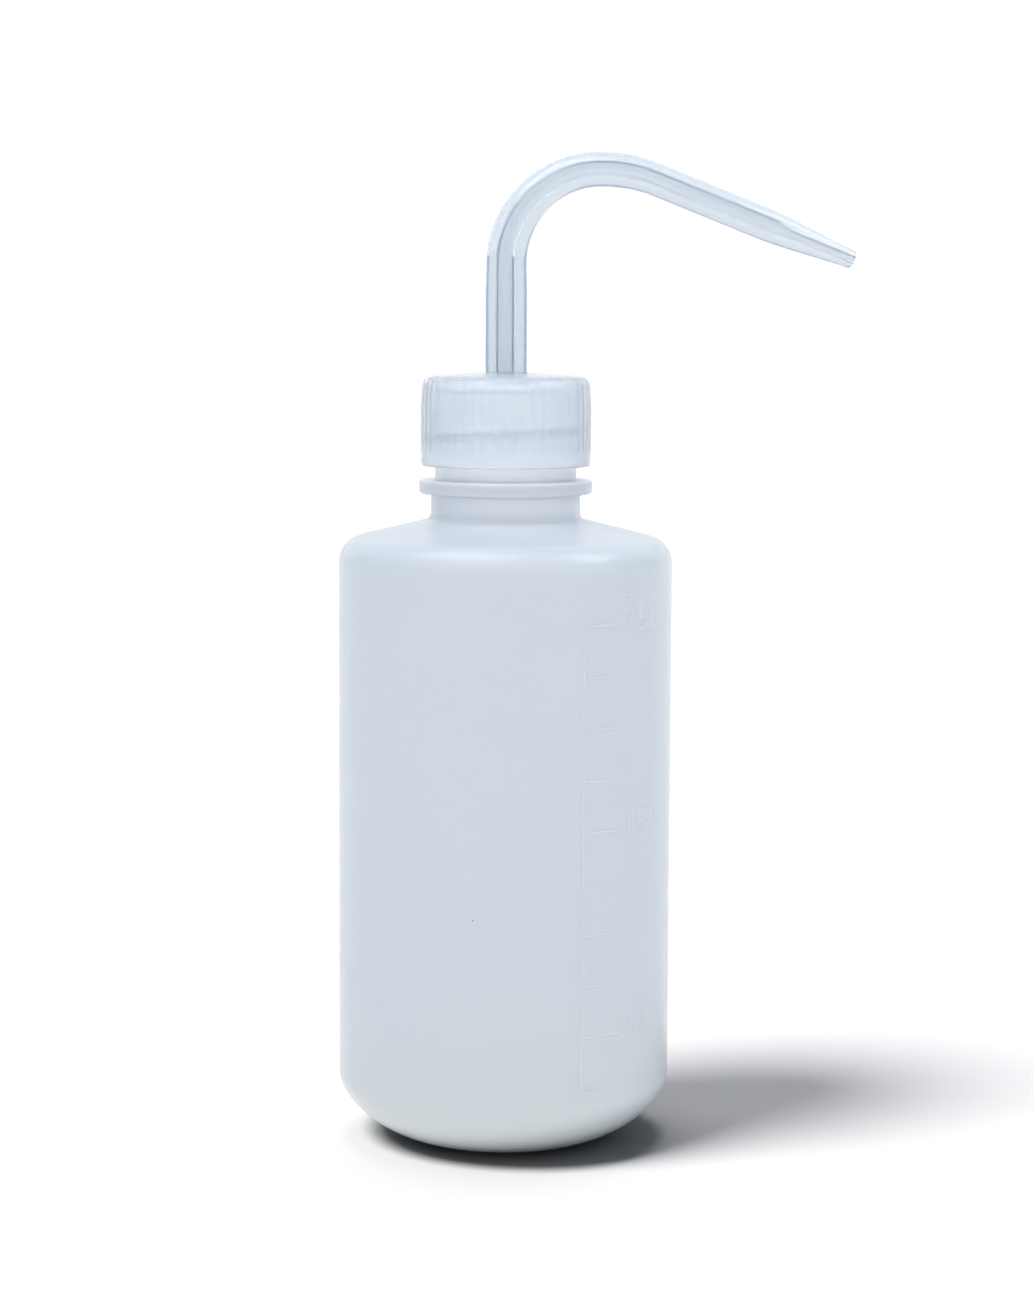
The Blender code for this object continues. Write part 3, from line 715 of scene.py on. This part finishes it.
stops = [stem_length * i / 20 for i in range(21)]
stops += [stem_length + (tip - 0.9 - stem_length) * i / 100 for i in range(1, 101)]
outline = [(bore_radius(0) + 0.3, 0), (STEM_RADIUS - 0.3, 0)]
outline += [(STEM_RADIUS - 0.09, 0.09), (STEM_RADIUS, 0.3)]
collar_low = COLLAR_BOTTOM - STEM_FOOT
collar_high = COLLAR_TOP - STEM_FOOT
outline += [(tube_radius(s), s) for s in stops if 0.5 < s < collar_low - 0.3]
outline += [(STEM_RADIUS, collar_low), (COLLAR_RADIUS - 0.12, collar_low)]
outline += [(COLLAR_RADIUS, collar_low + 0.12), (COLLAR_RADIUS, collar_high - 0.2)]
outline += [(COLLAR_RADIUS - 0.06, collar_high - 0.06), (COLLAR_RADIUS - 0.2, collar_high)]
outline += [(STEM_RADIUS + 0.2, collar_high), (STEM_RADIUS + 0.05, collar_high + 0.06)]
outline += [(STEM_RADIUS, collar_high + 0.2)]
outline += [(tube_radius(s), s) for s in stops if s > collar_high + 0.5]
end = tube_radius(tip - 0.7)
outline += [(end - 0.06, tip - 0.5), (end - 0.18, tip - 0.26), (end - 0.38, tip - 0.08)]
outline += [(end - 0.62, tip), (JET + 0.07, tip), (JET, tip - 0.1)]
bore_stops = [tip - 0.5, tip - 3, tip - 7, tip - 10, tip - 11]
bore_stops += [s for s in stops[::-1] if 0.5 < s < tip - 11.2]
outline += [(bore_radius(s), s) for s in bore_stops]
outline += [(bore_radius(0), 0.3)]
spout_tube = draw_up("spout_tube", outline, SPOUT_SIDES)

# The bore runs a little off centre, as it does in a tube that was bent hot.
pick(
    spout_tube,
    lambda co: math.hypot(co.x, co.y) < 1.5 * MM and 0.2 * MM < co.z < (taper_start + 1) * MM,
)
bpy.ops.transform.translate(value=(BORE_OFFSET * MM, 0, 0))
bpy.ops.object.mode_set(mode="OBJECT")

bpy.ops.object.select_all(action="DESELECT")
bpy.ops.curve.primitive_bezier_curve_add()
route = bpy.context.object
spline = route.data.splines[0]
spline.bezier_points.add(3)
hold = BEND_RADIUS * QUARTER_HANDLE
easy_hold = EASY_RADIUS * 4 / 3 * math.tan(ARM_SLOPE / 4)
bend_top = BEND_START + BEND_RADIUS
along = Vector((math.cos(ARM_SLOPE), 0, -math.sin(ARM_SLOPE)))
reach = BEND_RADIUS + EASY_RADIUS * math.sin(ARM_SLOPE)
easy_end = Vector((reach, 0, bend_top - EASY_RADIUS * (1 - math.cos(ARM_SLOPE))))
arm_end = easy_end + along * ARM_LENGTH
up = Vector((0, 0, 1))
right = Vector((1, 0, 0))
foot = Vector((0, 0, STEM_FOOT))
knee = Vector((0, 0, BEND_START))
crest = Vector((BEND_RADIUS, 0, bend_top))
handles = [
    (foot, foot - up, foot + up * stem_length / 3),
    (knee, knee - up * stem_length / 3, knee + up * hold),
    (crest, crest - right * hold, crest + right * easy_hold),
    (easy_end, easy_end - along * easy_hold, easy_end + along * ARM_LENGTH / 3),
    (arm_end, arm_end - along * ARM_LENGTH / 3, arm_end + along),
]
for point, (centre, before, after) in zip(spline.bezier_points, handles):
    point.handle_left_type = "FREE"
    point.handle_right_type = "FREE"
    point.co = centre * MM
    point.handle_left = before * MM
    point.handle_right = after * MM
route.data.resolution_u = 64
route.data.twist_mode = "MINIMUM"

bend = spout_tube.modifiers.new("bend", "CURVE")
bend.object = route
bend.deform_axis = "POS_Z"
bpy.ops.object.select_all(action="DESELECT")
bpy.context.view_layer.objects.active = spout_tube
spout_tube.select_set(True)
bpy.ops.object.modifier_apply(modifier=bend.name)
bpy.data.objects.remove(route, do_unlink=True)
smooth(spout_tube)
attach(spout_tube, "spout")
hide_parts("spout")

# Unfilled polyethylene: nearly clear, faintly blue in the depth of the wall, glossy from the drawing.
SPOUT_TINT = "#EDF1F6"
SPOUT_CLOUD = "#F1F5F9"
SPOUT_DEPTH = "#A6D3ED"
drawn_pe = bpy.data.materials.new("drawn_clear_polyethylene")
drawn_pe.use_nodes = True
tree = drawn_pe.node_tree
surface = tree.nodes["Principled BSDF"]
place = add(tree, "ShaderNodeTexCoord", {}).outputs["Object"]
tree.links.new(clouded(tree, place, 12, SPOUT_TINT, SPOUT_CLOUD), surface.inputs["Base Color"])
skin_detail(tree, surface, place, gloss=(0.03, 0.06), grain=(0.8, 0.0006), ripple=(7, 0.015))
surface.inputs["Subsurface Weight"].default_value = 1.0
surface.inputs["Subsurface Radius"].default_value = (1.0, 0.95, 0.9)
surface.inputs["Subsurface Scale"].default_value = 3.0 * MM
surface.inputs["Transmission Weight"].default_value = 0.85
surface.inputs["IOR"].default_value = 1.5
haze = add(tree, "ShaderNodeVolumeAbsorption", {"Color": linear(SPOUT_DEPTH), "Density": 40})
tree.links.new(haze.outputs[0], tree.nodes["Material Output"].inputs["Volume"])
spout_tube.data.materials.clear()
spout_tube.data.materials.append(drawn_pe)


# Seal insert: one moulding of soft polyethylene under the cap's roof, a flange on the bottle's lip,
# a plug inside the neck and a central socket that grips the spout above and the dip tube below.
SEAT = 137.8
SEAT_RADIUS = 5.9
INSERT_TOP = 138.8
INSERT_RADIUS = 12.4
PLUG_RADIUS = 10.6
PLUG_BORE = 9.6
PLUG_FOOT = 131.6
WEB = 136.8
SOCKET_RADIUS = 5.6
SOCKET_FOOT = 125.4
STEM_HOLE = 4.05
STEM_STOP = 131
STRAW_HOLE = 3.3
INSERT_SIDES = 160

outline = [(STEM_HOLE, SEAT), (SEAT_RADIUS, SEAT), (SEAT_RADIUS, INSERT_TOP - 0.1)]
outline += [(SEAT_RADIUS + 0.1, INSERT_TOP), (INSERT_RADIUS - 0.3, INSERT_TOP)]
outline += curve_round((INSERT_RADIUS - 0.25, INSERT_TOP - 0.25), 0.25, 90, 0, 4)
outline += curve_round((INSERT_RADIUS - 0.15, LIP + 0.45), 0.15, 0, -90, 3)
outline += curve_round((PLUG_RADIUS + 0.3, LIP), 0.3, 90, 180, 4)
outline += [(PLUG_RADIUS, PLUG_FOOT + 1.5), (PLUG_RADIUS - 0.15, PLUG_FOOT + 0.7)]
outline += [(PLUG_RADIUS - 0.5, PLUG_FOOT + 0.15), (PLUG_RADIUS - 0.7, PLUG_FOOT)]
outline += [(PLUG_BORE + 0.1, PLUG_FOOT), (PLUG_BORE, PLUG_FOOT + 0.15)]
outline += curve_round((PLUG_BORE - 0.5, WEB - 0.5), 0.5, 0, 90, 4)
outline += curve_round((SOCKET_RADIUS + 0.7, WEB - 0.7), 0.7, 90, 180, 5)
outline += curve_round((SOCKET_RADIUS - 0.4, SOCKET_FOOT + 0.4), 0.4, 0, -90, 4)
outline += [(STRAW_HOLE + 0.3, SOCKET_FOOT), (STRAW_HOLE + 0.05, SOCKET_FOOT + 0.25)]
outline += [(STRAW_HOLE, SOCKET_FOOT + 0.8), (STRAW_HOLE, STEM_STOP), (STEM_HOLE, STEM_STOP)]
seal_plug = draw_up("seal_plug", outline, INSERT_SIDES)
smooth(seal_plug)
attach(seal_plug, "closure")
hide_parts("seal_insert")

# The same soft polyethylene as the bottle, but injection moulded: thicker, so whiter, and smoother.
INSERT_WHITE = "#EEF2F5"
INSERT_CLOUD = "#E6ECF1"
injected_pe = bpy.data.materials.new("injection_moulded_ldpe")
injected_pe.use_nodes = True
tree = injected_pe.node_tree
surface = tree.nodes["Principled BSDF"]
place = add(tree, "ShaderNodeTexCoord", {}).outputs["Object"]
tree.links.new(clouded(tree, place, 5, INSERT_WHITE, INSERT_CLOUD), surface.inputs["Base Color"])
skin_detail(tree, surface, place, gloss=(0.29, 0.36), grain=(0.4, 0.003), ripple=(4, 0.03))
surface.inputs["Subsurface Weight"].default_value = 1.0
surface.inputs["Subsurface Radius"].default_value = (1.0, 0.95, 0.9)
surface.inputs["Subsurface Scale"].default_value = 2.0 * MM
surface.inputs["IOR"].default_value = 1.51
seal_plug.data.materials.clear()
seal_plug.data.materials.append(injected_pe)


# Dip tube: plain extruded polyethylene pushed up into the insert's socket, its foot cut at a slant
# so that it never seals itself against the floor.
STRAW_RADIUS = 3.0
STRAW_BORE = 2.0
STRAW_FOOT = 4.5
STRAW_TOP = 130.7
STRAW_SIDES = 64
CUT = math.radians(40)

outline = [(STRAW_BORE, STRAW_FOOT), (STRAW_RADIUS, STRAW_FOOT), (STRAW_RADIUS, STRAW_TOP - 0.15)]
outline += [(STRAW_RADIUS - 0.05, STRAW_TOP), (STRAW_BORE + 0.05, STRAW_TOP)]
outline += [(STRAW_BORE, STRAW_TOP - 0.1)]
dip_straw = draw_up("dip_straw", outline, STRAW_SIDES)
bpy.ops.object.mode_set(mode="EDIT")
bpy.ops.mesh.select_all(action="SELECT")
bpy.ops.mesh.bisect(
    plane_co=(-STRAW_RADIUS * MM, 0, STRAW_FOOT * MM),
    plane_no=(-math.sin(CUT), 0, math.cos(CUT)),
    use_fill=True,
    clear_inner=True,
)
bpy.ops.object.mode_set(mode="OBJECT")
smooth(dip_straw)
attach(dip_straw, "closure")
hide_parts("dip_tube")

# Extruded polyethylene: hazy, a little glossy, with the faint die ripple of an extruded tube.
STRAW_TINT = "#DDE5EC"
STRAW_CLOUD = "#E5EBF0"
extruded_pe = bpy.data.materials.new("extruded_polyethylene")
extruded_pe.use_nodes = True
tree = extruded_pe.node_tree
surface = tree.nodes["Principled BSDF"]
place = add(tree, "ShaderNodeTexCoord", {}).outputs["Object"]
tree.links.new(clouded(tree, place, 8, STRAW_TINT, STRAW_CLOUD), surface.inputs["Base Color"])
skin_detail(tree, surface, place, gloss=(0.14, 0.22), grain=(0.7, 0.002), ripple=(3, 0.02))
surface.inputs["Subsurface Weight"].default_value = 1.0
surface.inputs["Subsurface Radius"].default_value = (1.0, 0.95, 0.9)
surface.inputs["Subsurface Scale"].default_value = 2.0 * MM
surface.inputs["Transmission Weight"].default_value = 0.45
surface.inputs["IOR"].default_value = 1.5
dip_straw.data.materials.clear()
dip_straw.data.materials.append(extruded_pe)
